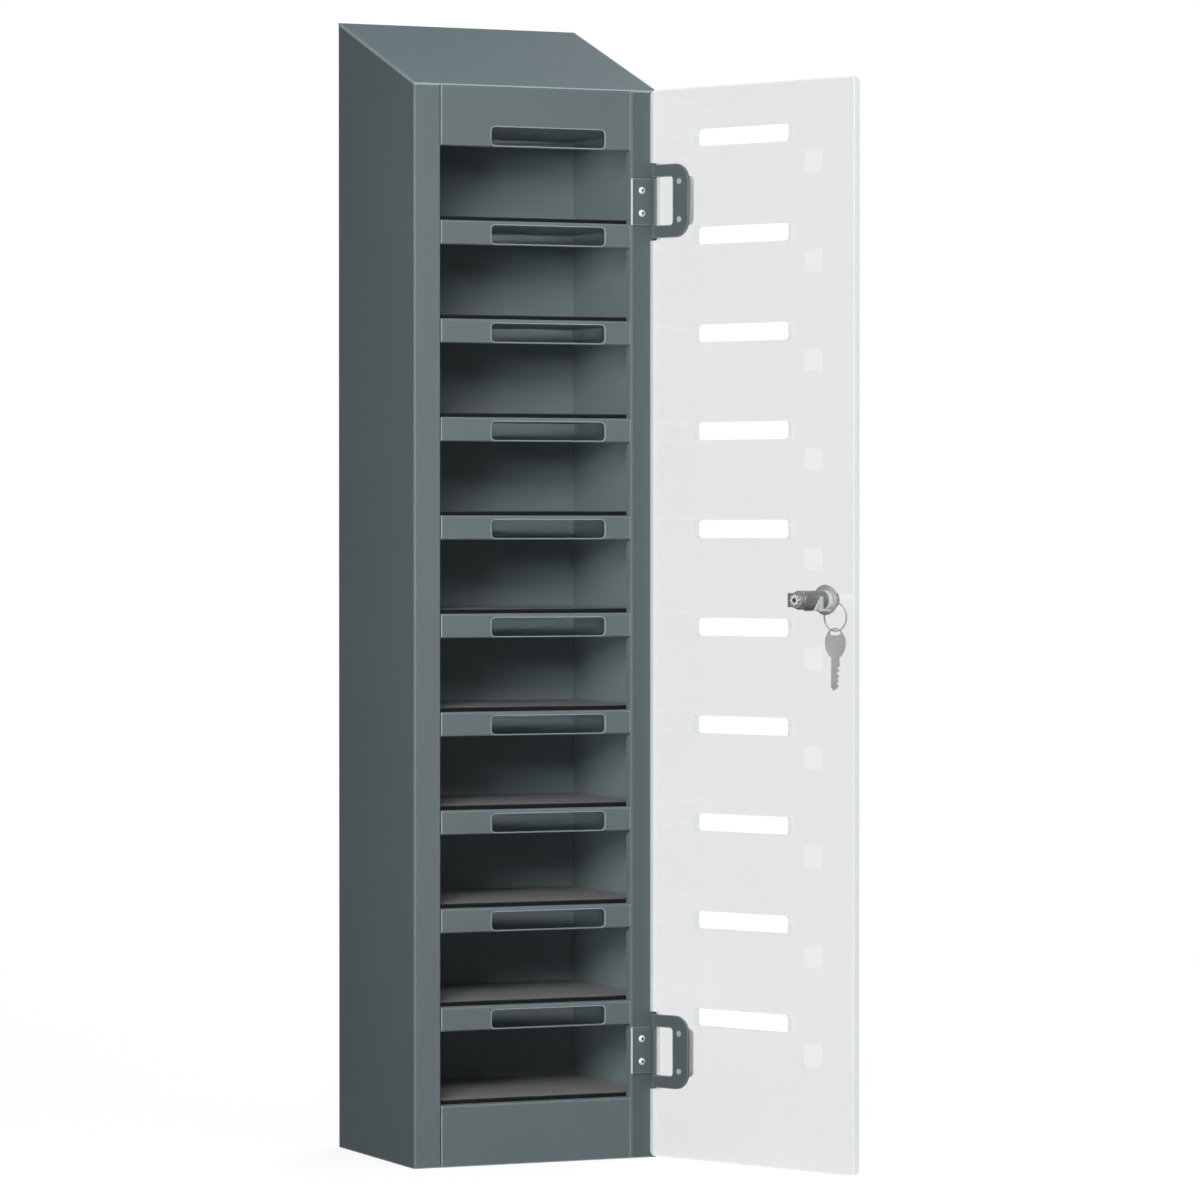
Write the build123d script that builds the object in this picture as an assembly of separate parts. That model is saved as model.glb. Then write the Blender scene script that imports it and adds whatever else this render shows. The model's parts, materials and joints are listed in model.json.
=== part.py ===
from build123d import *
import math
import os

# A tall sheet-steel phone locker: ten open compartments with rubber mats behind a
# full-height clear acrylic door, which hangs on two flush hinges and closes with a
# cam lock. Millimetres, +Z up, +Y towards the back. The origin is the centre of the
# footprint at floor level, and the door is modelled shut and then swung open.

# Cabinet
WIDTH = 230.0
DEPTH = 184.0
FRONT_HEIGHT = 940.0
BACK_HEIGHT = 1007.0
SHEET = 1.2
BEND = 0.8                       # inside radius of a folded edge
STILE = 25.0                     # front flange of each side panel
STILE_LIP = 10.0                 # depth of the flange's returned edge
REAR_FLANGE = 15.0
SEAM = 0.3                       # gap between the stiles and the pieces between them
COMPARTMENTS = 10
PITCH = 85.4
BAND = 21.0                      # height of a shelf's folded front
PLINTH = 53.6                    # height of the plinth, up to the lowest shelf level
RETURN_FLANGE = 8.0              # folded edge under each band
SHELF_SIDE_FLANGE = 12.0
MAT_THICKNESS = 4.0
MAT_SETBACK = 10.6
MAT_CLEARANCE = 0.4
WALL_HOLES_X = 120.0             # spacing of each pair of wall fixings
WALL_HOLE_RADIUS = 3.5
WALL_HOLE_LEVEL = 122.0
KEYHOLE_LEVEL = 960.0            # hanging keyholes behind the empty roof space
KEYHOLE_RADIUS = 6.0
KEYHOLE_SLOT_RADIUS = 3.0
KEYHOLE_RISE = 12.0
BASE_HOLE_RADIUS = 3.25
BASE_HOLES_X = 150.0
BASE_HOLES_Y = 110.0

# Posting slots, the same in the door and in the cabinet front
SLOT_WIDTH = 107.5
SLOT_HEIGHT = 16.0
SLOT_CORNER = 3.75
SLOT_OFFSET = 11.25              # towards the hinge side from the centre
SLOT_RAISE = 1.3                 # above the lower edge of the band

# Door, shut
DOOR_THICKNESS = 8.0
DOOR_GAP = 3.5                   # between the cabinet front and the door
DOOR_FLOOR_GAP = 2.0
DOOR_CORNER = 5.0
DOOR_EDGE_CHAMFER = 0.6
OPEN_ANGLE = 115.0
LABEL_SIZE = 20.0
LABEL_THICKNESS = 0.8
LABEL_CORNER = 3.0
LABEL_THUMB_RADIUS = 1.1         # nick in each pocket's lower corner, for pushing a label out
LABEL_INSET = 48.4               # from the door's free edge to the label's centre
LABEL_BELOW_BAND = 16.5          # from the band's lower edge to the label's centre

# Hinges
HINGE_LEVELS = (95.0, 842.0)
HINGE_INSET = 4.0                # axis from the cabinet's right side
HINGE_STANDOFF = 6.4             # axis in front of the cabinet front
BARREL_RADIUS = 2.75
PIN_RADIUS = 1.3
PIN_CLEARANCE = 0.05
FIXED_LEAF_HEIGHT = 41.0
FIXED_LEAF_SHEET = 1.5
MOVING_LEAF_HEIGHT = 64.5
MOVING_LEAF_SHEET = 2.0
MOVING_LEAF_REACH = 45.7         # from the cabinet's right side to the web's far edge
WEB_WIDTH = 17.8
WINDOW_HEIGHT = 42.5
DOOR_NOTCH_DEPTH = 8.0
DOOR_NOTCH_HEIGHT = 68.5
RIVET_INSET = 14.8               # rivets from the cabinet's right side
RIVET_SPREAD = 20.0
RIVET_RADIUS = 1.6
RIVET_HEAD_RADIUS = 3.2
RIVET_HEAD_HEIGHT = 1.3
RIVET_HOLE_RADIUS = 1.1          # blind hole left by the rivet's mandrel
RIVET_HOLE_DEPTH = 2.4
RIVET_TAIL_RADIUS = 2.4
RIVET_TAIL = 1.8
SCREW_INSET = 35.2
SCREW_SPREAD = 33.3
SCREW_RADIUS = 2.3
SCREW_HEAD_RADIUS = 4.0
SCREW_HEAD_HEIGHT = 2.2
SCREW_SOCKET = 1.5               # corner radius of the hexagon socket
SCREW_SOCKET_DEPTH = 1.2
CLAMP_WIDTH = 20.0
CLAMP_HEIGHT = 42.5
CLAMP_THICKNESS = 1.5
CLAMP_CORNER = 4.5
LEAF_CORNER = 3.0
FIXED_LEAF_CORNER = 0.8
WEB_CORNER = 15.0                # large outer corners of the moving leaf
PIN_HEAD_RADIUS = 2.35
PIN_HEAD = 0.8
PIN_END_GAP = 0.3

# Lock, its axis square to the door
LOCK_INSET = 35.5                # from the door's free edge
LOCK_LEVEL = 493.5
BARREL_LOCK_RADIUS = 8.0
HOUSING_LENGTH = 32.0            # behind the door's inner face
BEZEL_RADIUS = 13.0
BEZEL_RIM = 1.4
BEZEL_DOME = 3.0
BEZEL_SLOPE = 4.0                # width of the bezel's sloping border
BARREL_CHAMFER = 0.6
PLUG_RADIUS = 5.5
PLUG_CLEARANCE = 0.05
PLUG_TAIL = 6.5                  # square tail that drives the cam
KEYWAY_WIDTH = 2.2
KEYWAY_HEIGHT = 7.4
KEYWAY_DEPTH = 27.0
STUD_RADIUS = 2.0
CAM_SHEET = 1.6
CAM_WIDTH = 12.0
CAM_REACH = 20.5
CAM_CRANK = 18.2                 # offset of the cam's tongue towards the door
CAM_SIDE = 11.1                  # outer face of the cam's crank from the lock's axis
CAM_CORNER = 5.0
WASHER_RADIUS = 7.0
WASHER_SHEET = 0.8
NUT_HEIGHT = 2.2
NUT_TEETH = 8
NUT_RADIUS = 3.6                 # between the teeth
NUT_TOOTH_RADIUS = 0.9
CLIP_TOP = 3.2                   # clip levels and lengths are from the lock's axis
CLIP_FOOT = -9.6
CLIP_RAIL = 1.8                  # low rail that braces the clip against the door
CLIP_SOLE = 13.0                 # short enough to stay in front of the mats
CLIP_HEEL = -8.4                 # foot of the wings behind the sole, clear of the mats
CLIP_STANDOFF = 8.5
CLIP_TIP = 2.8
CLIP_BASE = 12.0
CLIP_SHEET = 0.8
KEY_THICKNESS = 1.8
KEY_WIDTH = 7.0
KEY_BLADE = 25.0
KEY_BOW_HALF = 6.5
KEY_HOLE_OUT = 14.0              # from the door's outer face to the ring's hole
KEY_HOLE_RADIUS = 3.3
KEY_HOLE_EDGE = 1.2
RING_RADIUS = 12.2
RING_WIRE = 0.75
RING_DROP = 2.5                  # top of the ring below the lock's axis
SPARE_TURN = 28.0                # the spare key hangs turned from the ring's plane
SPARE_BOW_WIDTH = 17.9
SPARE_BOW_HEIGHT = 25.8
SPARE_BOW_TOP = 24.3             # below the lock's axis
SPARE_NECK = 11.0                # width of the bow where the blade starts
SPARE_NECK_LEVEL = 49.1
SPARE_SLOT_WIDTH = 8.8
SPARE_SLOT_HEIGHT = 5.0
SPARE_SLOT_TOP = 25.7
SPARE_BLADE = 29.0

# Worked out from the sizes above
LEFT = -WIDTH / 2
RIGHT = WIDTH / 2
FRONT = -DEPTH / 2
BACK = DEPTH / 2
SLOPE = math.atan2(BACK_HEIGHT - FRONT_HEIGHT, DEPTH)
ROOF_DROP = SHEET / math.cos(SLOPE)
HEADER_FOOT = PLINTH + COMPARTMENTS * PITCH - BAND
DOOR_INNER = FRONT - DOOR_GAP
DOOR_OUTER = DOOR_INNER - DOOR_THICKNESS
HINGE_X = RIGHT - HINGE_INSET
HINGE_Y = FRONT - HINGE_STANDOFF
LOCK_X = LEFT + LOCK_INSET
BACK_SHEET_FRONT = BACK - 2 * SHEET
BARREL_END = DOOR_THICKNESS + HOUSING_LENGTH
PLUG_FACE = -BEZEL_DOME - 0.3
CAM_SEAT = BARREL_END + 0.2
CAM_FACE = CAM_SEAT + CAM_SHEET + 0.1
KEY_SHOULDER = PLUG_FACE - 0.6
KEY_BOW_END = -KEY_HOLE_OUT - KEY_HOLE_RADIUS - KEY_HOLE_EDGE


def block(low, high):
    """A box between two opposite corners."""
    size = [b - a for a, b in zip(low, high)]
    return Pos(*low) * Box(*size, align=(Align.MIN, Align.MIN, Align.MIN))


def extrude_along_x(outline, low, high):
    """A solid with a (y, z) outline between two x planes."""
    plane = Plane(origin=(low, 0, 0), x_dir=(0, 1, 0), z_dir=(1, 0, 0))
    return extrude(plane * outline, high - low)


def plate_facing_y(outline, front, back):
    """A solid with an (x, z) outline between two y planes."""
    plane = Plane(origin=(0, back, 0), x_dir=(1, 0, 0), z_dir=(0, -1, 0))
    return extrude(plane * outline, back - front)


def rod_along_y(x, z, radius, front, back):
    """A round rod parallel to the lock's axis."""
    return Pos(x, (front + back) / 2, z) * Rot(90, 0, 0) * Cylinder(radius, back - front)


def folded_sheet(path, thickness=SHEET, bend=BEND):
    """The outline of a bent sheet whose outer face follows `path`, the sheet on its right."""
    points = [Vector(*point) for point in path]
    normals = []
    for start, end in zip(points, points[1:]):
        along = (end - start).normalized()
        normals.append(Vector(along.Y, -along.X))
    inner = [points[0] + normals[0] * thickness]
    turns = []
    for before, after, corner in zip(normals, normals[1:], points[1:-1]):
        middle = (before + after).normalized()
        inner.append(corner + middle * (thickness / middle.dot(before)))
        turns.append(before.X * after.Y - before.Y * after.X)
    inner.append(points[-1] + normals[-1] * thickness)
    outer_radii = [bend + thickness if turn < 0 else bend for turn in turns]
    inner_radii = [bend if turn < 0 else bend + thickness for turn in turns]
    radii = [0, *outer_radii, 0, 0, *reversed(inner_radii), 0]
    return make_face(FilletPolyline(*points, *reversed(inner), radius=radii, close=True))


def slot_cutter(foot):
    """The posting slot above a band's lower edge, long enough for door and cabinet."""
    outline = Pos(SLOT_OFFSET, foot + SLOT_RAISE + SLOT_HEIGHT / 2)
    outline *= RectangleRounded(SLOT_WIDTH, SLOT_HEIGHT, SLOT_CORNER)
    return plate_facing_y(outline, DOOR_OUTER - 1, FRONT + SHEET + 1)


def band_foot(number):
    """Lower edge of the band over compartment `number`, counted from the top."""
    return HEADER_FOOT - (number - 1) * PITCH


def roof_cutter(drop):
    """Everything above the roof line lowered by `drop`."""
    rise = 200
    outline = Polygon(
        (FRONT, FRONT_HEIGHT - drop), (BACK, BACK_HEIGHT - drop),
        (BACK, BACK_HEIGHT + rise), (FRONT, BACK_HEIGHT + rise), align=None,
    )
    return extrude_along_x(outline, LEFT - 1, RIGHT + 1)


# Cabinet

def left_side_panel():
    path = [
        (LEFT + STILE, FRONT + STILE_LIP), (LEFT + STILE, FRONT), (LEFT, FRONT),
        (LEFT, BACK), (LEFT + REAR_FLANGE, BACK),
    ]
    wall = extrude(folded_sheet(path), BACK_HEIGHT)
    return wall - roof_cutter(ROOF_DROP)


def right_side_panel():
    panel = mirror(left_side_panel(), Plane.YZ)
    for level in HINGE_LEVELS:
        for side in (-1, 1):
            z = level + side * RIVET_SPREAD / 2
            panel -= rod_along_y(RIGHT - RIVET_INSET, z, RIVET_RADIUS, FRONT - 1, FRONT + 3)
    return panel


def back_panel():
    side = SHEET + BEND + SEAM
    panel = block((LEFT + side, BACK_SHEET_FRONT, 0), (RIGHT - side, BACK - SHEET, BACK_HEIGHT))
    front = BACK_SHEET_FRONT - 1
    for x in (-WALL_HOLES_X / 2, WALL_HOLES_X / 2):
        panel -= rod_along_y(x, WALL_HOLE_LEVEL, WALL_HOLE_RADIUS, front, BACK)
        panel -= rod_along_y(x, KEYHOLE_LEVEL, KEYHOLE_RADIUS, front, BACK)
        slot_top = KEYHOLE_LEVEL + KEYHOLE_RISE
        panel -= rod_along_y(x, slot_top, KEYHOLE_SLOT_RADIUS, front, BACK)
        low = (x - KEYHOLE_SLOT_RADIUS, front, KEYHOLE_LEVEL)
        panel -= block(low, (x + KEYHOLE_SLOT_RADIUS, BACK, slot_top))
    return panel - roof_cutter(ROOF_DROP)


def roof_panel():
    outline = Polygon(
        (FRONT, FRONT_HEIGHT - ROOF_DROP), (BACK, BACK_HEIGHT - ROOF_DROP),
        (BACK, BACK_HEIGHT), (FRONT, FRONT_HEIGHT), align=None,
    )
    return extrude_along_x(outline, LEFT, RIGHT)


def header_panel():
    top = FRONT_HEIGHT - ROOF_DROP
    flange_run = STILE_LIP * math.cos(SLOPE)
    flange_rise = STILE_LIP * math.sin(SLOPE)
    path = [
        (FRONT + RETURN_FLANGE, HEADER_FOOT), (FRONT, HEADER_FOOT), (FRONT, top),
        (FRONT + flange_run, top + flange_rise),
    ]
    panel = extrude_along_x(
        folded_sheet(path), LEFT + STILE + SEAM, RIGHT - STILE - SEAM
    )
    return panel - slot_cutter(HEADER_FOOT)


def shelf_plate(level, front):
    """A flat shelf with turned-down sides, its top face at `level`."""
    plate = block((LEFT + SHEET, front, level - SHEET), (RIGHT - SHEET, BACK_SHEET_FRONT, level))
    for x in (LEFT + SHEET, RIGHT - 2 * SHEET):
        low = (x, FRONT + 2 * STILE_LIP, level - SHELF_SIDE_FLANGE)
        plate += block(low, (x + SHEET, BACK_SHEET_FRONT - STILE_LIP, level))
    return plate


def ceiling_panel():
    return shelf_plate(HEADER_FOOT + BAND, FRONT + STILE_LIP + SEAM)


def fronted_shelf(level, foot, return_flange):
    """A shelf whose front is folded down between the stiles to `foot`."""
    path = [(FRONT + STILE_LIP + 1, level), (FRONT, level), (FRONT, foot)]
    path.reverse()
    if return_flange:
        path.insert(0, (FRONT + RETURN_FLANGE, foot))
    fascia = extrude_along_x(folded_sheet(path), LEFT + STILE + SEAM, RIGHT - STILE - SEAM)
    return fascia + shelf_plate(level, FRONT + STILE_LIP + SEAM)


def shelf(number):
    """The shelf under compartment `number`, with the slotted band of the next one."""
    foot = band_foot(number + 1)
    return fronted_shelf(foot + BAND, foot, True) - slot_cutter(foot)


def plinth_panel():
    return fronted_shelf(PLINTH, 0, False)


def base_panel():
    panel = block((LEFT + SHEET, FRONT + SHEET, 0), (RIGHT - SHEET, BACK_SHEET_FRONT, SHEET))
    for x in (LEFT, RIGHT - STILE - SEAM):
        lip = (x, FRONT, -1)
        panel -= block(lip, (x + STILE + SEAM, FRONT + STILE_LIP + SEAM, SHEET + 1))
    for x in (-BASE_HOLES_X / 2, BASE_HOLES_X / 2):
        for y in (-BASE_HOLES_Y / 2, BASE_HOLES_Y / 2):
            panel -= Pos(x, y, 0) * Cylinder(BASE_HOLE_RADIUS, 4 * SHEET)
    return panel


def mat(number):
    """The pad lying on the floor of compartment `number`."""
    level = PLINTH + (COMPARTMENTS - number) * PITCH
    side = SHEET + MAT_CLEARANCE
    low = (LEFT + side, FRONT + MAT_SETBACK, level + 0.05)
    high = (RIGHT - side, BACK_SHEET_FRONT - MAT_CLEARANCE, level + MAT_THICKNESS)
    return block(low, high)


# Door, modelled shut

def door_panel():
    height = FRONT_HEIGHT - DOOR_FLOOR_GAP
    middle = (FRONT_HEIGHT + DOOR_FLOOR_GAP) / 2
    outline = Pos(0, middle) * RectangleRounded(WIDTH, height, DOOR_CORNER)
    for level in HINGE_LEVELS:
        notch = Rectangle(2 * DOOR_NOTCH_DEPTH, DOOR_NOTCH_HEIGHT)
        outline -= Pos(RIGHT, level) * notch
    panel = plate_facing_y(outline, DOOR_OUTER, DOOR_INNER)
    hinge_edges = panel.edges().filter_by(Axis.Z).group_by(Axis.X)[-1]
    panel = chamfer(hinge_edges, DOOR_EDGE_CHAMFER)
    for number in range(1, COMPARTMENTS + 1):
        panel -= slot_cutter(band_foot(number))
    panel -= rod_along_y(LOCK_X, LOCK_LEVEL, BARREL_LOCK_RADIUS + 0.1, DOOR_OUTER - 1, FRONT)
    for x, z in screw_places():
        panel -= rod_along_y(x, z, SCREW_RADIUS + 0.1, DOOR_OUTER - 1, FRONT)
    return panel


def label_pockets():
    pockets = []
    for number in range(1, COMPARTMENTS + 1):
        z = band_foot(number) - LABEL_BELOW_BAND
        outline = Pos(LEFT + LABEL_INSET, z)
        outline *= RectangleRounded(LABEL_SIZE, LABEL_SIZE, LABEL_CORNER)
        nick = Pos(LEFT + LABEL_INSET - LABEL_SIZE / 2 + 1, z - LABEL_SIZE / 2 + 1)
        outline -= nick * Circle(LABEL_THUMB_RADIUS)
        pockets.append(plate_facing_y(outline, DOOR_OUTER - LABEL_THICKNESS, DOOR_OUTER))
    return Compound(pockets)


# Hinges

def screw_places():
    """The (x, z) of the four screws that clamp the hinges to the door."""
    x = RIGHT - SCREW_INSET
    return [(x, level + side * SCREW_SPREAD / 2) for level in HINGE_LEVELS for side in (-1, 1)]


def knuckle(low, high):
    """A length of hinge barrel with its pin bore."""
    middle = (low + high) / 2
    tube = Cylinder(BARREL_RADIUS, high - low)
    tube -= Cylinder(PIN_RADIUS + PIN_CLEARANCE, high - low + 1)
    return Pos(HINGE_X, HINGE_Y, middle) * tube


def pin_bore(level):
    hole = Cylinder(PIN_RADIUS + PIN_CLEARANCE, MOVING_LEAF_HEIGHT + 1)
    return Pos(HINGE_X, HINGE_Y, level) * hole


def hinge_fixed_leaf(level):
    low = level - FIXED_LEAF_HEIGHT / 2
    high = level + FIXED_LEAF_HEIGHT / 2
    outer_x = HINGE_X + BARREL_RADIUS
    path = [(RIGHT - STILE, FRONT), (outer_x, FRONT), (outer_x, HINGE_Y)]
    leaf = Pos(0, 0, low) * extrude(folded_sheet(path, FIXED_LEAF_SHEET, 0.5), high - low)
    leaf = leaf + knuckle(low, high) - pin_bore(level)
    for side in (-1, 1):
        z = level + side * RIVET_SPREAD / 2
        leaf -= rod_along_y(RIGHT - RIVET_INSET, z, RIVET_RADIUS, FRONT - 3, FRONT + 1)
    corners = leaf.edges().filter_by(Axis.Y).group_by(Axis.X)[0]
    return fillet(corners, FIXED_LEAF_CORNER)


def hinge_moving_leaf(level):
    half = MOVING_LEAF_HEIGHT / 2
    window = WINDOW_HEIGHT / 2
    arm_end = HINGE_X - BARREL_RADIUS + MOVING_LEAF_SHEET
    web_far = RIGHT - MOVING_LEAF_REACH
    web_near = web_far + WEB_WIDTH
    outline = make_face(FilletPolyline(
        (arm_end, level - half), (arm_end, level - window), (web_near, level - window),
        (web_near, level + window), (arm_end, level + window), (arm_end, level + half),
        (web_far, level + half), (web_far, level - half),
        radius=[0, 0, LEAF_CORNER, LEAF_CORNER, 0, 0, WEB_CORNER, WEB_CORNER], close=True,
    ))
    leaf = plate_facing_y(outline, DOOR_INNER, DOOR_INNER + MOVING_LEAF_SHEET)
    for side in (-1, 1):
        near = level + side * window
        far = level + side * half
        low, high = min(near, far), max(near, far)
        arm_low = (HINGE_X - BARREL_RADIUS, HINGE_Y, low)
        leaf += block(arm_low, (arm_end, DOOR_INNER + MOVING_LEAF_SHEET, high))
        leaf += knuckle(low, high)
    leaf -= pin_bore(level)
    for x, z in screw_places():
        leaf -= rod_along_y(x, z, SCREW_RADIUS, DOOR_INNER - 1, FRONT)
    return leaf


def hinge_pin(level):
    shank = Cylinder(PIN_RADIUS, MOVING_LEAF_HEIGHT + 2 * (PIN_END_GAP + PIN_HEAD))
    for side in (-1, 1):
        z = side * (MOVING_LEAF_HEIGHT / 2 + PIN_END_GAP + PIN_HEAD / 2)
        shank += Pos(0, 0, z) * Cylinder(PIN_HEAD_RADIUS, PIN_HEAD)
    return Pos(HINGE_X, HINGE_Y, level) * shank


def hinge_clamp_plate(level):
    outline = Pos(RIGHT - SCREW_INSET, level)
    outline *= RectangleRounded(CLAMP_WIDTH, CLAMP_HEIGHT, CLAMP_CORNER)
    plate = plate_facing_y(outline, DOOR_OUTER - CLAMP_THICKNESS, DOOR_OUTER)
    for x, z in screw_places():
        plate -= rod_along_y(x, z, SCREW_RADIUS + 0.1, DOOR_OUTER - 3, DOOR_OUTER + 1)
    return plate


def domed_head(x, z, radius, height, face):
    """A low domed head standing forward of the plane y = face."""
    sphere = (radius ** 2 + height ** 2) / (2 * height)
    half_angle = math.asin(radius / sphere) / 2
    shoulder = (sphere * math.sin(half_angle), sphere * (1 - math.cos(half_angle)) - height)
    profile = Line((0, -height), (0, 0)) + Line((0, 0), (radius, 0))
    profile += ThreePointArc((radius, 0), shoulder, (0, -height))
    return Pos(x, face, z) * revolve(make_face(profile), Axis.Y)


def hinge_rivets():
    rivets = []
    face = FRONT - FIXED_LEAF_SHEET
    hole_front = face - RIVET_HEAD_HEIGHT - 1
    hole_end = face - RIVET_HEAD_HEIGHT + RIVET_HOLE_DEPTH
    back = FRONT + SHEET
    x = RIGHT - RIVET_INSET
    for level in HINGE_LEVELS:
        for side in (-1, 1):
            z = level + side * RIVET_SPREAD / 2
            rivet = domed_head(x, z, RIVET_HEAD_RADIUS, RIVET_HEAD_HEIGHT, face)
            rivet += rod_along_y(x, z, RIVET_RADIUS, face - 0.2, back + 0.2)
            rivet += rod_along_y(x, z, RIVET_TAIL_RADIUS, back, back + RIVET_TAIL)
            rivet -= rod_along_y(x, z, RIVET_HOLE_RADIUS, hole_front, hole_end)
            rivets.append(rivet.solid())
    return Compound(rivets)


def hinge_screws():
    screws = []
    face = DOOR_OUTER - CLAMP_THICKNESS
    for x, z in screw_places():
        screw = domed_head(x, z, SCREW_HEAD_RADIUS, SCREW_HEAD_HEIGHT, face)
        shank_end = DOOR_INNER + MOVING_LEAF_SHEET + 0.4
        screw += rod_along_y(x, z, SCREW_RADIUS, face - 0.5, shank_end)
        drive = Pos(x, face - SCREW_HEAD_HEIGHT, z) * Rot(90, 0, 0)
        drive *= extrude(RegularPolygon(SCREW_SOCKET, 6), SCREW_SOCKET_DEPTH, both=True)
        screws.append((screw - drive).solid())
    return Compound(screws)


# Lock

def at_lock(shape):
    """Moves a shape built round the Y axis, y = 0 on the door's outer face, to the lock."""
    return Pos(LOCK_X, DOOR_OUTER, LOCK_LEVEL) * shape


def turned(profile):
    """A solid of revolution about Y from (radius, y) points."""
    return revolve(make_face(Polyline(*profile, close=True)), Axis.Y)


def lock_housing():
    bore = PLUG_RADIUS + PLUG_CLEARANCE
    body = turned([
        (bore, -BEZEL_DOME), (BEZEL_RADIUS - BEZEL_SLOPE, -BEZEL_DOME),
        (BEZEL_RADIUS, -BEZEL_RIM), (BEZEL_RADIUS, 0), (BARREL_LOCK_RADIUS, 0),
        (BARREL_LOCK_RADIUS, BARREL_END - BARREL_CHAMFER),
        (BARREL_LOCK_RADIUS - BARREL_CHAMFER, BARREL_END), (bore, BARREL_END),
    ])
    return at_lock(body)


def lock_clip():
    """A wedge-sided horseshoe clip, pushed up round the barrel."""
    near = DOOR_THICKNESS + 0.1
    wedge_near = near + CLIP_STANDOFF
    wedge_far = wedge_near + CLIP_BASE
    sole_end = near + CLIP_SOLE
    outline = Polygon(
        (near, CLIP_FOOT), (sole_end, CLIP_FOOT), (sole_end, CLIP_HEEL), (wedge_far, CLIP_HEEL),
        (wedge_near + CLIP_TIP, CLIP_TOP), (wedge_near, CLIP_TOP),
        (wedge_near, CLIP_FOOT + CLIP_RAIL), (near, CLIP_FOOT + CLIP_RAIL), align=None,
    )
    inner = BARREL_LOCK_RADIUS + 0.1
    half = inner + CLIP_SHEET
    wedge = extrude_along_x(outline, -half, half)
    wedge -= block((-inner, near - 1, CLIP_FOOT + CLIP_SHEET), (inner, wedge_far + 1, CLIP_TOP + 1))
    return at_lock(wedge)


def lock_plug():
    length = CAM_SEAT - PLUG_FACE
    plug = Pos(0, PLUG_FACE + length / 2, 0) * Rot(90, 0, 0) * Cylinder(PLUG_RADIUS, length)
    half = PLUG_TAIL / 2
    plug += block((-half, CAM_SEAT - 1, -half), (half, CAM_FACE, half))
    stud_end = CAM_FACE + WASHER_SHEET + NUT_HEIGHT + 0.4
    stud_length = stud_end - CAM_SEAT + 1
    plug += Pos(0, stud_end - stud_length / 2, 0) * Rot(90, 0, 0) * Cylinder(STUD_RADIUS, stud_length)
    plug -= block(
        (-KEYWAY_WIDTH / 2, PLUG_FACE - 1, -KEYWAY_HEIGHT / 2),
        (KEYWAY_WIDTH / 2, PLUG_FACE + KEYWAY_DEPTH, KEYWAY_HEIGHT / 2),
    )
    return at_lock(plug)


def lock_cam():
    """A cranked tongue, pointing to the hinge side while the lock is open."""
    path = [
        (-PLUG_RADIUS - 2, CAM_SEAT + CAM_SHEET), (CAM_SIDE, CAM_SEAT + CAM_SHEET),
        (CAM_SIDE, CAM_SEAT + CAM_SHEET - CAM_CRANK),
        (CAM_REACH, CAM_SEAT + CAM_SHEET - CAM_CRANK),
    ]
    cam = extrude(folded_sheet(path, CAM_SHEET, 0.6), CAM_WIDTH)
    cam = Pos(0, 0, -CAM_WIDTH / 2) * cam
    half = PLUG_TAIL / 2 + 0.05
    cam -= block((-half, CAM_SEAT - 1, -half), (half, CAM_SEAT + 3 * CAM_SHEET, half))
    tips = cam.edges().filter_by(Axis.Y).group_by(Axis.X)
    cam = fillet(tips[-1] + tips[0], CAM_CORNER)
    return at_lock(cam)


def lock_washer():
    washer = Cylinder(WASHER_RADIUS, WASHER_SHEET) - Cylinder(STUD_RADIUS + 0.1, 2 * WASHER_SHEET)
    return at_lock(Pos(0, CAM_FACE + WASHER_SHEET / 2, 0) * Rot(90, 0, 0) * washer)


def lock_nut():
    """A serrated nut on the plug's stud."""
    outline = Circle(NUT_RADIUS)
    for index in range(NUT_TEETH):
        tooth = Pos(NUT_RADIUS + 0.3, 0) * Circle(NUT_TOOTH_RADIUS)
        outline += Rot(0, 0, index * 360 / NUT_TEETH) * tooth
    nut = extrude(outline - Circle(STUD_RADIUS + 0.05), NUT_HEIGHT)
    return at_lock(Pos(0, CAM_FACE + WASHER_SHEET + NUT_HEIGHT, 0) * Rot(90, 0, 0) * nut)


def key_blade(length):
    """A flat key blade in the (x, y) plane, pointing to +x, with a notched upper edge."""
    half = KEY_WIDTH / 2
    tip = 3.0
    blade = Polygon(
        (-1, -half), (length - tip, -half), (length, -half + 1.8), (length, -half + 2.8),
        (length - tip, half - 1.2), (0.3 * length, half), (-1, half), align=None,
    )
    notches = 4
    for index in range(notches):
        x = length * (0.34 + 0.15 * index)
        depth = 1.9 + 0.7 * (index % 2)
        notch = Polygon((x - 1.8, half + 0.1), (x + 1.8, half + 0.1), (x, half - depth), align=None)
        blade -= notch
    return blade


def lock_key():
    """The key in the plug, its short bow upright in the plane of the lock's axis."""
    bow = RectangleRounded(KEY_SHOULDER - KEY_BOW_END, 2 * KEY_BOW_HALF, KEY_BOW_HALF - 0.5)
    bow = Pos((KEY_SHOULDER + KEY_BOW_END) / 2, 0) * bow
    outline = bow + Pos(KEY_SHOULDER, 0) * key_blade(KEY_BLADE)
    outline -= Pos(-KEY_HOLE_OUT, 0) * Circle(KEY_HOLE_RADIUS)
    plane = Plane(origin=(KEY_THICKNESS / 2, 0, 0), x_dir=(0, 1, 0), z_dir=(1, 0, 0))
    return at_lock(extrude(plane * outline, -KEY_THICKNESS))


def key_ring():
    ring = Rot(90, 0, 0) * Torus(RING_RADIUS, RING_WIRE)
    return at_lock(Pos(0, -KEY_HOLE_OUT, -RING_DROP - RING_RADIUS) * ring)


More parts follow.
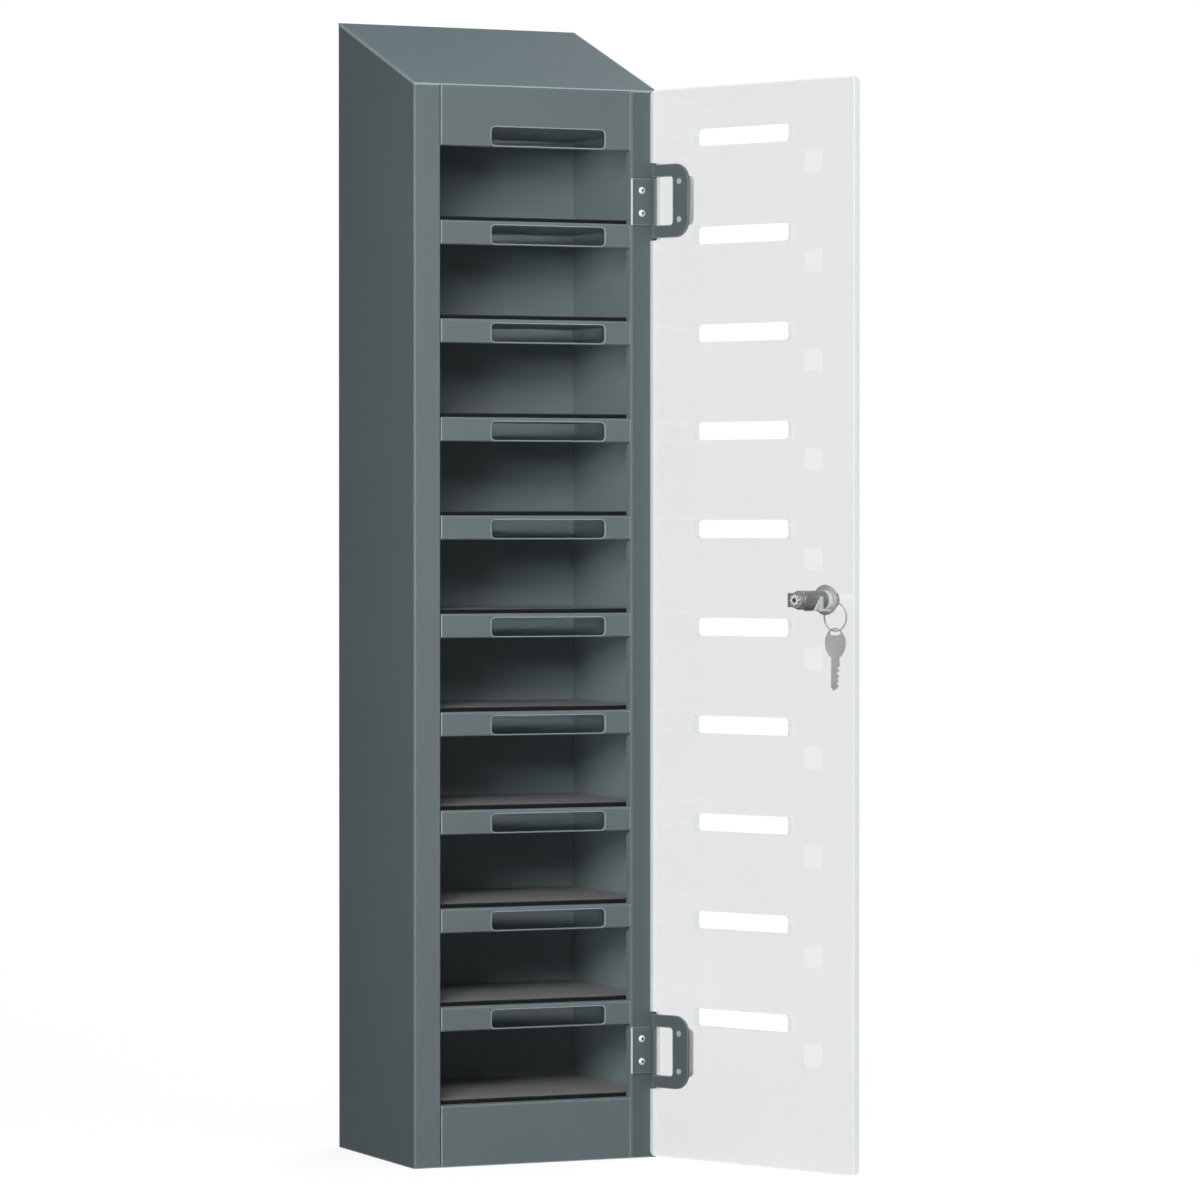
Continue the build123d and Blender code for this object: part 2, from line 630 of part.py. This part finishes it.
def spare_key():
    """The second key, hanging upright from the foot of the ring."""
    bow = Pos(0, -SPARE_BOW_TOP - SPARE_BOW_HEIGHT / 2)
    bow *= Ellipse(SPARE_BOW_WIDTH / 2, SPARE_BOW_HEIGHT / 2)
    neck = SPARE_BOW_HEIGHT / 3
    outline = bow + Pos(0, neck / 2 - SPARE_NECK_LEVEL) * RectangleRounded(SPARE_NECK, neck, 1.5)
    outline -= Pos(0, -SPARE_NECK_LEVEL - 5) * Rectangle(SPARE_BOW_WIDTH, 10)
    blade = Pos(0, -SPARE_NECK_LEVEL) * Rot(0, 0, -90) * key_blade(SPARE_BLADE)
    outline += mirror(blade, Plane.YZ)
    slot = RectangleRounded(SPARE_SLOT_WIDTH, SPARE_SLOT_HEIGHT, SPARE_SLOT_HEIGHT / 2 - 0.1)
    outline -= Pos(0, -SPARE_SLOT_TOP - SPARE_SLOT_HEIGHT / 2) * slot
    plane = Plane(origin=(0, KEY_THICKNESS / 2, 0), x_dir=(1, 0, 0), z_dir=(0, -1, 0))
    key = Rot(0, 0, SPARE_TURN) * extrude(plane * outline, KEY_THICKNESS)
    return at_lock(Pos(0, -KEY_HOLE_OUT, 0) * key)


CABINET_NODES = {
    "left_side_panel": left_side_panel(),
    "right_side_panel": right_side_panel(),
    "back_panel": back_panel(),
    "roof_panel": roof_panel(),
    "header_panel": header_panel(),
    "ceiling_panel": ceiling_panel(),
    "plinth_panel": plinth_panel(),
    "base_panel": base_panel(),
    "hinge_fixed_leaf_lower": hinge_fixed_leaf(HINGE_LEVELS[0]),
    "hinge_fixed_leaf_upper": hinge_fixed_leaf(HINGE_LEVELS[1]),
    "hinge_pin_lower": hinge_pin(HINGE_LEVELS[0]),
    "hinge_pin_upper": hinge_pin(HINGE_LEVELS[1]),
    "hinge_rivets": hinge_rivets(),
}
for index in range(1, COMPARTMENTS):
    CABINET_NODES[f"shelf_{index}"] = shelf(index)
for index in range(1, COMPARTMENTS + 1):
    CABINET_NODES[f"mat_{index}"] = mat(index)

DOOR_NODES = {
    "door_panel": door_panel(),
    "label_pockets": label_pockets(),
    "hinge_moving_leaf_lower": hinge_moving_leaf(HINGE_LEVELS[0]),
    "hinge_moving_leaf_upper": hinge_moving_leaf(HINGE_LEVELS[1]),
    "hinge_clamp_plate_lower": hinge_clamp_plate(HINGE_LEVELS[0]),
    "hinge_clamp_plate_upper": hinge_clamp_plate(HINGE_LEVELS[1]),
    "hinge_screws": hinge_screws(),
    "lock_housing": lock_housing(),
    "lock_clip": lock_clip(),
    "lock_plug": lock_plug(),
    "lock_cam": lock_cam(),
    "lock_washer": lock_washer(),
    "lock_nut": lock_nut(),
    "lock_key": lock_key(),
    "key_ring": key_ring(),
    "spare_key": spare_key(),
}

os.makedirs("parts", exist_ok=True)
hinge_axis = Axis((HINGE_X, HINGE_Y, 0), (0, 0, 1))
for name, shape in CABINET_NODES.items():
    export_step(shape, f"parts/{name}.step")
for name, shape in DOOR_NODES.items():
    export_step(shape.rotate(hinge_axis, OPEN_ANGLE), f"parts/{name}.step")
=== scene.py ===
import json
import math

import bmesh
import bpy
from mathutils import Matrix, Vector, noise


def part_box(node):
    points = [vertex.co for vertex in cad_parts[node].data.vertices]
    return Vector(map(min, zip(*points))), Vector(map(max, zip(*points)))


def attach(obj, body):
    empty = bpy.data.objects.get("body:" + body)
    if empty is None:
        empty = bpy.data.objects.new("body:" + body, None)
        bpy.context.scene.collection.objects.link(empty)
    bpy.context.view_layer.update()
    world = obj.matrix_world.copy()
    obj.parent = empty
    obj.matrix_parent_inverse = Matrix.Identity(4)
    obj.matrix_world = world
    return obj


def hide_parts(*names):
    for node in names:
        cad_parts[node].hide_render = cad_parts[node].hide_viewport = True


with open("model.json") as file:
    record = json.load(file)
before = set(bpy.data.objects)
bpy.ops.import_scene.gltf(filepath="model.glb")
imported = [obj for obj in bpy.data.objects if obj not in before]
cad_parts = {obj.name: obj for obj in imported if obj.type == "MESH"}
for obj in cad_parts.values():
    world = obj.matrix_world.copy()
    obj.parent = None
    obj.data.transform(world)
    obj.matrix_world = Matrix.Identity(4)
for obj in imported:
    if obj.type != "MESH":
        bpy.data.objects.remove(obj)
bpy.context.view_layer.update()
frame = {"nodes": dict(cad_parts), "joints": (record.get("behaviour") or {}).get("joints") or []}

MM = 0.001              # lengths are in metres, so this is a millimetre
nodes = frame["nodes"]
joints = {joint["name"]: joint for joint in frame["joints"]}
materials = {}


# Node graphs

class Graph:
    """Short ways to add and join shader nodes in one node tree."""

    def __init__(self, tree, place="Object"):
        self.tree = tree
        self.place = self.add("ShaderNodeTexCoord").outputs[place]

    def add(self, kind, **settings):
        node = self.tree.nodes.new(kind)
        for key, value in settings.items():
            setattr(node, key, value)
        return node

    def feed(self, target, value):
        if hasattr(value, "is_linked"):
            self.tree.links.new(value, target)
        else:
            target.default_value = value

    def math(self, operation, first, second=0.0, third=0.0):
        node = self.add("ShaderNodeMath", operation=operation)
        for socket, value in zip(node.inputs, (first, second, third)):
            self.feed(socket, value)
        return node.outputs[0]

    def position(self):
        """X, Y and Z of the shaded point, as three sockets by name."""
        split = self.add("ShaderNodeSeparateXYZ")
        self.feed(split.inputs[0], self.place)
        return split.outputs

    def stretched(self, scale):
        node = self.add("ShaderNodeMapping")
        node.inputs["Scale"].default_value = scale
        self.feed(node.inputs["Vector"], self.place)
        return node.outputs[0]

    def noise(self, scale, detail=2.0, roughness=0.5, place=None):
        node = self.add("ShaderNodeTexNoise")
        node.inputs["Scale"].default_value = scale
        node.inputs["Detail"].default_value = detail
        node.inputs["Roughness"].default_value = roughness
        self.feed(node.inputs["Vector"], place or self.place)
        return node.outputs["Fac"]

    def ramp(self, value, low, high, out_low=0.0, out_high=1.0):
        node = self.add("ShaderNodeMapRange")
        limits = {"From Min": low, "From Max": high, "To Min": out_low, "To Max": out_high}
        for name, number in limits.items():
            node.inputs[name].default_value = number
        self.feed(node.inputs["Value"], value)
        return node.outputs[0]

    def mix(self, share, first, second):
        node = self.add("ShaderNodeMix", data_type="RGBA")
        self.feed(node.inputs["Factor"], share)
        self.feed(node.inputs["A"], first)
        self.feed(node.inputs["B"], second)
        return node.outputs["Result"]

    def mix_shaders(self, share, first, second):
        node = self.add("ShaderNodeMixShader")
        self.feed(node.inputs[0], share)
        self.feed(node.inputs[1], first)
        self.feed(node.inputs[2], second)
        return node.outputs[0]

    def scatter(self, kind, colour, **values):
        """A plain shader such as Translucent or Transparent in one colour."""
        node = self.add(kind)
        node.inputs["Color"].default_value = colour
        for name, value in values.items():
            self.feed(node.inputs[name], value)
        return node.outputs[0]

    def straight_sight(self, limit):
        """1 on the camera's own line of sight, also through clear sheet, and 0 after a bounce."""
        path = self.add("ShaderNodeLightPath").outputs
        bounces = self.math("SUBTRACT", path["Ray Depth"], path["Transmission Depth"])
        seen = self.math("MAXIMUM", path["Is Camera Ray"], path["Is Transmission Ray"])
        return self.math("MULTIPLY", self.math("LESS_THAN", bounces, limit), seen)


class Surface(Graph):
    """A new material with a Principled shader."""

    def __init__(self, name):
        self.material = bpy.data.materials.new(name)
        self.material.use_nodes = True
        super().__init__(self.material.node_tree)
        self.shader = self.tree.nodes["Principled BSDF"]
        self.output = self.tree.nodes["Material Output"].inputs["Surface"]
        materials[name] = self.material

    def rounded(self, radius):
        """A normal that rounds sharp edges over."""
        node = self.add("ShaderNodeBevel", samples=4)
        node.inputs["Radius"].default_value = radius
        return node.outputs[0]

    def edges(self, reach):
        """1 close to an outer edge and 0 on the flats; reach stays under the sheet's thickness."""
        node = self.add("ShaderNodeAmbientOcclusion", samples=8, inside=True, only_local=True)
        node.inputs["Distance"].default_value = reach
        return self.ramp(node.outputs["AO"], 0.97, 0.75)

    def hollows(self, distance):
        """0 deep inside small holes and gaps, 1 in the open."""
        node = self.add("ShaderNodeAmbientOcclusion", samples=6)
        node.inputs["Distance"].default_value = distance
        return self.ramp(node.outputs["AO"], 0.35, 0.85)

    def facing(self, direction):
        """How squarely a face looks along a direction of the rest frame, either way."""
        turn = self.add(
            "ShaderNodeVectorTransform", vector_type="NORMAL",
            convert_from="WORLD", convert_to="OBJECT",
        )
        self.feed(turn.inputs[0], self.add("ShaderNodeNewGeometry").outputs["True Normal"])
        dot = self.add("ShaderNodeVectorMath", operation="DOT_PRODUCT")
        self.feed(dot.inputs[0], turn.outputs[0])
        dot.inputs[1].default_value = direction
        return self.math("ABSOLUTE", dot.outputs["Value"])

    def bump(self, height, distance, strength=1.0, normal=None):
        node = self.add("ShaderNodeBump")
        node.inputs["Strength"].default_value = strength
        node.inputs["Distance"].default_value = distance
        self.feed(node.inputs["Height"], height)
        if normal is not None:
            self.feed(node.inputs["Normal"], normal)
        return node.outputs[0]

    def set(self, **values):
        """Sets or joins inputs of the Principled shader by name."""
        for name, value in values.items():
            self.feed(self.shader.inputs[name.replace("_", " ")], value)


def grey(value, warm=0.0):
    return (value * (1 + warm), value, value * (1 - warm), 1.0)


def shade(colour, factor):
    return tuple(factor * c for c in colour[:3]) + (1.0,)


# Materials

WALL_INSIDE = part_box("right_side_panel")[1].x - 0.6 * MM     # half-way through the side sheet
FRONT_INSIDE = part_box("header_panel")[0].y + 1.0 * MM        # just short of its back face
STILE_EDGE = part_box("hinge_fixed_leaf_upper")[0].x


def inside_light_mask(paint):
    """Up to 1 on the faces inside the cabinet, most on the side walls, and 0 outside; it places the
    painted light inside.
    """
    point = paint.position()
    aside = paint.math("ABSOLUTE", point["X"])
    across = paint.math("LESS_THAN", aside, WALL_INSIDE)
    behind = paint.math("GREATER_THAN", point["Y"], FRONT_INSIDE)
    side = paint.ramp(aside, 0.99 * WALL_INSIDE - 1 * MM, 0.99 * WALL_INSIDE, 0.5, 1.0)
    return paint.math("MULTIPLY", paint.math("MULTIPLY", across, behind), side)


def shaded_stile(paint):
    """1 on the front of the hinge-side stile, which stands in the open door's shade."""
    point = paint.position()
    front = paint.math("LESS_THAN", point["Y"], FRONT_INSIDE)
    stile = paint.ramp(point["X"], STILE_EDGE - 3 * MM, STILE_EDGE + 1 * MM)
    return paint.math("MULTIPLY", front, stile)


def leaf_highlight_and_shade(paint, colour, low, high):
    """Painted highlight along a leaf's free edge, and painted shade down its barrel's far side."""
    across = paint.position()["X"]
    edge = paint.ramp(across, low.x + 0.9 * MM, low.x + 1.2 * MM, 1.0, 0.0)
    barrel_shade = paint.ramp(across, high.x - 1.5 * MM, high.x - 0.9 * MM)
    highlit = paint.mix(edge, colour, (0.75, 0.80, 0.80, 1))
    return paint.mix(barrel_shade, highlit, (0.006, 0.007, 0.007, 1))


def powder_coat(name, base, painted_edge_highlight=3.0, leaf_light_box=None):
    """Satin powder coat: orange peel, faint cloudiness, painted highlights along its edges, painted
    light inside the cabinet and painted shade on the hinge-side stile.
    """
    paint = Surface(name)
    cloud = paint.ramp(paint.noise(7.0, 3.0), 0.3, 0.7, 0.0, 0.7)
    fleck = paint.ramp(paint.noise(2600.0, 1.0), 0.35, 0.65, 0.0, 0.25)
    colour = paint.mix(cloud, shade(base, 0.96), shade(base, 1.04))
    colour = paint.mix(fleck, colour, shade(base, 1.15))
    inside = inside_light_mask(paint)
    # painted light: faces inside the cabinet are painted twice as pale as outside, the side walls
    # most
    colour = paint.mix(inside, colour, shade(base, 2.0))
    colour = paint.mix(shaded_stile(paint), colour, shade(base, 0.78))
    outside = paint.ramp(inside, 0.1, 0.4, 0.9, 0.0)
    # painted highlight: the paint turns pale along outer edges and bends
    edge = paint.math("MULTIPLY", paint.edges(1.1 * MM), outside)
    colour = paint.mix(edge, colour, shade(base, painted_edge_highlight))
    if leaf_light_box is not None:
        # painted highlight and painted shade on a hinge leaf
        colour = leaf_highlight_and_shade(paint, colour, *leaf_light_box)
    peel = paint.noise(620.0, 2.0, 0.45)
    normal = paint.bump(peel, 0.00005, 0.4, paint.rounded(0.6 * MM))
    rough = paint.ramp(paint.noise(24.0, 3.0), 0.3, 0.7, 0.5, 0.58)
    paint.set(Base_Color=colour, Roughness=rough, Normal=normal, Specular_IOR_Level=0.3)


def outside_door(steel):
    """1 on the side of the door where the key goes in, and 0 inside."""
    offset = steel.add("ShaderNodeVectorMath", operation="SUBTRACT")
    steel.feed(offset.inputs[0], steel.place)
    offset.inputs[1].default_value = joints["lock_turn"]["pos_m"]
    along = steel.add("ShaderNodeVectorMath", operation="DOT_PRODUCT")
    steel.feed(along.inputs[0], offset.outputs[0])
    along.inputs[1].default_value = joints["lock_turn"]["axis"]
    return steel.ramp(along.outputs["Value"], -0.1 * MM, 0.1 * MM)


def metal(
    name, base, rough, grain=(1.0, 1.0, 1.0), grain_scale=400.0, bright=1.0,
    hollow_shade=False, rim=None,
):
    """Bare or plated metal: directional grain, scuffs, painted shade in hollows, a paler bezel rim.
    """
    steel = Surface(name)
    lines = steel.noise(grain_scale, 3.0, 0.6, steel.stretched(grain))
    stain = steel.ramp(steel.noise(60.0, 3.0), 0.45, 0.8, 0.0, 0.25)
    colour = steel.mix(steel.ramp(lines, 0.3, 0.7), shade(base, 0.88), base)
    colour = steel.mix(stain, colour, shade(base, 0.8))
    # painted shade: the metal turns almost black deep in holes and gaps
    if hollow_shade:
        colour = steel.mix(steel.hollows(2.2 * MM), shade(base, 0.03), colour)
    if rim is not None:
        colour = steel.mix(outside_door(steel), colour, rim)
    roughness = steel.ramp(lines, 0.3, 0.7, rough * 0.8, rough * 1.25)
    normal = steel.bump(lines, 0.00001, 0.6, steel.rounded(0.25 * MM))
    steel.set(Base_Color=colour, Metallic=bright, Roughness=roughness, Normal=normal)


def clear_acrylic(name, across):
    """Clear sheet with smears on its faces and pale green, frosted cut edges that glow a little
    with painted light.
    """
    sheet = Surface(name)
    cut = sheet.ramp(sheet.facing(across), 0.9, 0.98, 1.0, 0.0)
    smear = sheet.ramp(sheet.noise(9.0, 4.0, 0.6), 0.45, 0.75)
    tint = sheet.mix(smear, (0.853, 0.855, 0.855, 1), (0.840, 0.843, 0.844, 1))
    ripple = sheet.bump(sheet.noise(6.0, 1.0), 0.0004, 0.1)
    sheet.set(Base_Color=tint, Roughness=0.01, IOR=1.49, Transmission_Weight=1.0)
    sheet.set(Normal=ripple)
    glow = sheet.scatter("ShaderNodeBsdfTranslucent", (0.90, 0.95, 0.92, 1))
    skin = sheet.scatter("ShaderNodeBsdfDiffuse", (0.88, 0.94, 0.90, 1))
    # painted light: the cut edges glow a little through an emission shader
    painted_edge_glow = sheet.scatter("ShaderNodeEmission", (0.90, 0.94, 0.92, 1), Strength=1.0)
    sawn = sheet.mix_shaders(0.45, sheet.mix_shaders(0.45, glow, skin), painted_edge_glow)
    solid = sheet.mix_shaders(cut, sheet.shader.outputs[0], sawn)
    passing = sheet.scatter("ShaderNodeBsdfTransparent", (0.60, 0.61, 0.61, 1))
    shadow = sheet.add("ShaderNodeLightPath").outputs["Is Shadow Ray"]
    sheet.feed(sheet.output, sheet.mix_shaders(shadow, solid, passing))


def label_film(name):
    """A frosted clear pocket, made a little paler than the door behind it by a painted glow."""
    film = Surface(name)
    # painted light: 10 to 14 per cent of the pocket's look is an emission glow
    glow_share = film.ramp(film.noise(300.0, 2.0), 0.3, 0.7, 0.10, 0.14)
    clear = film.scatter("ShaderNodeBsdfTransparent", (1, 1, 1, 1))
    painted_glow = film.scatter("ShaderNodeEmission", (1, 1, 1, 1), Strength=1.3)
    edge = film.ramp(film.edges(0.4 * MM), 0.0, 1.0, 0.0, 0.12)
    film.set(Base_Color=(0.9, 0.9, 0.9, 1), Roughness=0.3)
    body = film.mix_shaders(glow_share, clear, painted_glow)
    film.feed(film.output, film.mix_shaders(edge, body, film.shader.outputs[0]))


def mat_rubber(name):
    """Moulded rubber: fine pebbled skin, greyed on top with dust and a painted sheen, and black at
    its cut edge.
    """
    rubber = Surface(name)
    pebble = rubber.add("ShaderNodeTexVoronoi", feature="SMOOTH_F1")
    pebble.inputs["Scale"].default_value = 750.0
    rubber.feed(pebble.inputs["Vector"], rubber.place)
    dust = rubber.ramp(rubber.noise(16.0, 4.0, 0.6), 0.3, 0.7, 0.85, 1.0)
    up = rubber.add("ShaderNodeSeparateXYZ")
    rubber.feed(up.inputs[0], rubber.add("ShaderNodeNewGeometry").outputs["Normal"])
    # painted sheen with dust: faces turned upwards are grey in patches, the rest stays black
    dust_and_sheen = rubber.math("MULTIPLY", rubber.ramp(up.outputs["Z"], 0.6, 0.98), dust)
    colour = rubber.mix(dust_and_sheen, (0.003, 0.003, 0.003, 1), (0.340, 0.334, 0.334, 1))
    normal = rubber.bump(pebble.outputs["Distance"], 0.00018, 0.6)
    rubber.set(Base_Color=colour, Roughness=0.65, Normal=normal, Specular_IOR_Level=0.3)


PAINT = (0.123, 0.152, 0.161, 1.0)
powder_coat("cabinet_paint", PAINT)
powder_coat("hinge_paint", shade(PAINT, 0.98), painted_edge_highlight=1.8)
# the fixed leaf gets a painted highlight on its free edge and painted shade by its barrel
powder_coat("fixed_leaf_paint", shade(PAINT, 1.1), 1.5, leaf_light_box=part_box("hinge_fixed_leaf_upper"))
clear_acrylic("clear_acrylic", joints["lock_turn"]["axis"])
label_film("label_plastic")
mat_rubber("mat_rubber")
metal("pin_steel", grey(0.03), 0.5, (1, 1, 0.05), 900.0)
# the rivet heads get painted shade down their mandrel holes
metal("rivet_alloy", grey(0.95), 0.5, (1, 1, 1), 700.0, 0.3, hollow_shade=True)
metal("clamp_steel", grey(0.90), 0.5, (1, 1, 0.04), 700.0, 0.15)
metal("screw_steel", grey(0.80, 0.01), 0.4, bright=0.5)
metal("lock_chrome", grey(0.36), 0.42, (1, 1, 1), 250.0, 0.5, rim=grey(1.0))
metal("clip_zinc", (0.90, 0.94, 0.91, 1), 0.4, bright=0.2)
# the nut gets painted shade in its hollows
metal("nut_zinc", grey(0.90), 0.4, bright=0.3, hollow_shade=True)
metal("lock_brass", (0.45, 0.43, 0.38, 1), 0.3)
metal("cam_steel", grey(0.35), 0.35, (1, 1, 0.1), bright=0.6)
metal("washer_zinc", grey(0.45), 0.35, bright=0.6)
metal("key_nickel", grey(0.50, 0.01), 0.45, (1, 1, 0.08), 900.0, 0.4)
metal("ring_nickel", grey(0.85), 0.35, bright=0.3)

FINISH = {
    "mat_": "mat_rubber",
    "hinge_fixed_leaf": "fixed_leaf_paint", "hinge_moving_leaf": "hinge_paint",
    "hinge_pin": "pin_steel", "hinge_rivets": "rivet_alloy",
    "hinge_clamp_plate": "clamp_steel", "hinge_screws": "screw_steel",
    "door_panel": "clear_acrylic", "label_pockets": "label_plastic",
    "lock_housing": "lock_chrome", "lock_clip": "clip_zinc", "lock_plug": "lock_brass",
    "lock_cam": "cam_steel", "lock_washer": "washer_zinc", "lock_nut": "nut_zinc",
    "lock_key": "key_nickel", "key_ring": "ring_nickel", "spare_key": "key_nickel",
}


def paint_piece(piece, name):
    """Every piece not named in FINISH is part of the painted cabinet."""
    found = [finish for word, finish in FINISH.items() if name.startswith(word)]
    piece.data.materials.clear()
    piece.data.materials.append(materials[found[0] if found else "cabinet_paint"])


# Mats

def rubber_pad(name, low, high, corner, round_edge):
    """A thin pad with rounded corners and edges and a very slightly uneven top."""
    mesh = bmesh.new()
    size = high - low
    middle = (low + high) / 2
    bmesh.ops.create_grid(mesh, x_segments=24, y_segments=18, size=0.5)
    for vertex in mesh.verts:
        vertex.co.x = middle.x + vertex.co.x * size.x
        vertex.co.y = middle.y + vertex.co.y * size.y
        vertex.co.z = low.z
    top = bmesh.ops.extrude_face_region(mesh, geom=list(mesh.faces))["geom"]
    for item in top:
        if isinstance(item, bmesh.types.BMVert):
            item.co.z = high.z
    bmesh.ops.recalc_face_normals(mesh, faces=mesh.faces)
    upright = [
        edge for edge in mesh.edges
        if edge.calc_length() < 2 * size.z
        and abs(edge.verts[0].co.z - edge.verts[1].co.z) > size.z / 2
        and edge.calc_face_angle() > math.radians(60)
    ]
    bmesh.ops.bevel(mesh, geom=upright, offset=corner, segments=4, affect="EDGES")
    rims = [edge for edge in mesh.edges if edge.calc_face_angle() > math.radians(60)]
    bmesh.ops.bevel(mesh, geom=rims, offset=round_edge, segments=3, affect="EDGES")
    sag = 0.12 * MM
    for vertex in mesh.verts:
        if vertex.co.z > middle.z + size.z / 4:
            vertex.co.z -= sag * (1 + noise.noise(vertex.co * 30))
    data = bpy.data.meshes.new(name)
    mesh.to_mesh(data)
    mesh.free()
    data.polygons.foreach_set("use_smooth", [True] * len(data.polygons))
    data.set_sharp_from_angle(angle=math.radians(40))
    pad = bpy.data.objects.new(name, data)
    bpy.context.scene.collection.objects.link(pad)
    return pad


for node, piece in nodes.items():
    if node.startswith("mat_"):
        low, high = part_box(node)
        pad = rubber_pad(f"{node}_pad", low, high, 1.5 * MM, 0.5 * MM)
        paint_piece(pad, node)
        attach(pad, "cabinet")
        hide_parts(node)
    else:
        paint_piece(piece, node)
    # A hair's gap keeps the pieces that lie flat on the door apart from it in the picture
    if node == "label_pockets" or node.startswith("hinge_clamp_plate"):
        skin_gap = piece.modifiers.new("skin_gap", "DISPLACE")
        skin_gap.mid_level = 0.0
        skin_gap.strength = -0.05 * MM


# Studio

def studio_floor(radius=3.0):
    """A pale disc that fades into the white surroundings, shown only to the camera."""
    mesh = bmesh.new()
    bmesh.ops.create_circle(mesh, cap_ends=True, segments=96, radius=radius)
    data = bpy.data.meshes.new("studio_floor")
    mesh.to_mesh(data)
    mesh.free()
    floor = bpy.data.objects.new("studio_floor", data)
    floor.location.z = -0.2 * MM
    bpy.context.scene.collection.objects.link(floor)
    paper = Surface("studio_paper")
    colour = paper.mix(paper.noise(3.0, 2.0), (0.89, 0.89, 0.89, 1), (0.91, 0.91, 0.91, 1))
    paper.set(Base_Color=colour, Roughness=0.9, Specular_IOR_Level=0.1)
    glow = paper.scatter("ShaderNodeEmission", (1, 1, 1, 1), Strength=1.12)
    lit = paper.mix_shaders(0.75, paper.shader.outputs[0], glow)
    length = paper.add("ShaderNodeVectorMath", operation="LENGTH")
    paper.feed(length.inputs[0], paper.place)
    near = paper.ramp(length.outputs["Value"], 0.5, 0.75 * radius, 1.0, 0.0)
    shown = paper.math("MULTIPLY", near, paper.straight_sight(0.5))
    gone = paper.scatter("ShaderNodeBsdfTransparent", (1, 1, 1, 1))
    paper.feed(paper.output, paper.mix_shaders(shown, gone, lit))
    data.materials.append(paper.material)


def soft_light(name, place, target, size, power, spread=180.0, colour=(1, 1, 1)):
    """An area light that shows neither directly nor through the door."""
    data = bpy.data.lights.new(name, "AREA")
    data.spread = math.radians(spread)
    data.color = colour
    data.shape = "RECTANGLE"
    data.size, data.size_y = size
    data.energy = power
    light = bpy.data.objects.new(name, data)
    light.location = place
    light.visible_camera = False
    light.visible_transmission = False
    aim = Vector(target) - Vector(place)
    light.rotation_euler = aim.to_track_quat("-Z", "Y").to_euler()
    bpy.context.scene.collection.objects.link(light)


def studio_world(ambient, contrast):
    """White behind the object, and a dimmer, softly banded room for every bounce."""
    world = bpy.data.worlds.new("studio")
    world.use_nodes = True
    room = Graph(world.node_tree, "Generated")
    bands = room.noise(9.0, 2.0, 0.5, room.stretched((1.0, 1.0, 3.0)))
    level = room.ramp(bands, 0.35, 0.65, ambient - contrast, ambient + contrast)
    front = room.ramp(room.position()["Y"], 0.3, -0.9, 0.35, 1.6)
    level = room.math("MULTIPLY", level, front)
    strength = room.math("MAXIMUM", level, room.straight_sight(1.5))
    background = world.node_tree.nodes["Background"]
    background.inputs["Color"].default_value = (1, 1, 1, 1)
    room.feed(background.inputs["Strength"], strength)
    bpy.context.scene.world = world


VIEW_YAW = math.radians(23.592)      # the camera looks this far round from +Y towards +X
VIEW_PITCH = math.radians(0.725)
CAMERA_PLACE = (-1.8264, -4.4124, 0.5516)
CAMERA_LENS = 161.15
MIDDLE = (0, 0, 0.5)

studio_floor()
studio_world(0.18, 0.05)
soft_light("key", (-1.1, -2.0, 1.16), MIDDLE, (0.8, 0.45), 36.5)
soft_light("side", (-1.0, -0.9, 0.45), (0, 0, 0.45), (0.3, 1.2), 5)
soft_light("top", (0.3, -0.5, 3.0), MIDDLE, (1.6, 1.6), 19.0, colour=(0.86, 1, 1))
soft_light("back", (2.4, 2.6, 1.6), MIDDLE, (1.8, 1.8), 75)

# A little light behind each posting slot, thrown straight along the line of sight
SLOT_GLOW = (0.12, 0.014)            # as wide and as high as a slot
GLOW_SPREAD = 5.0
for node in ["header_panel"] + [f"shelf_{number}" for number in range(1, 10)]:
    low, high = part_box(node)
    place = Vector((8 * MM, low.y + 26 * MM, low.z + 14 * MM))
    beyond = 2 * place - Vector(CAMERA_PLACE)
    power = 0.0016 + 0.0030 * low.z ** 2
    soft_light(f"glow_{node}", place, beyond, SLOT_GLOW, power, GLOW_SPREAD)

camera_data = bpy.data.cameras.new("camera")
camera_data.lens = CAMERA_LENS
camera_data.sensor_width = 36
camera_data.clip_end = 60
camera = bpy.data.objects.new("camera", camera_data)
camera.location = CAMERA_PLACE
camera.rotation_euler = (math.pi / 2 - VIEW_PITCH, 0, -VIEW_YAW)
bpy.context.scene.collection.objects.link(camera)
bpy.context.scene.camera = camera
bpy.context.scene.view_settings.view_transform = "Standard"
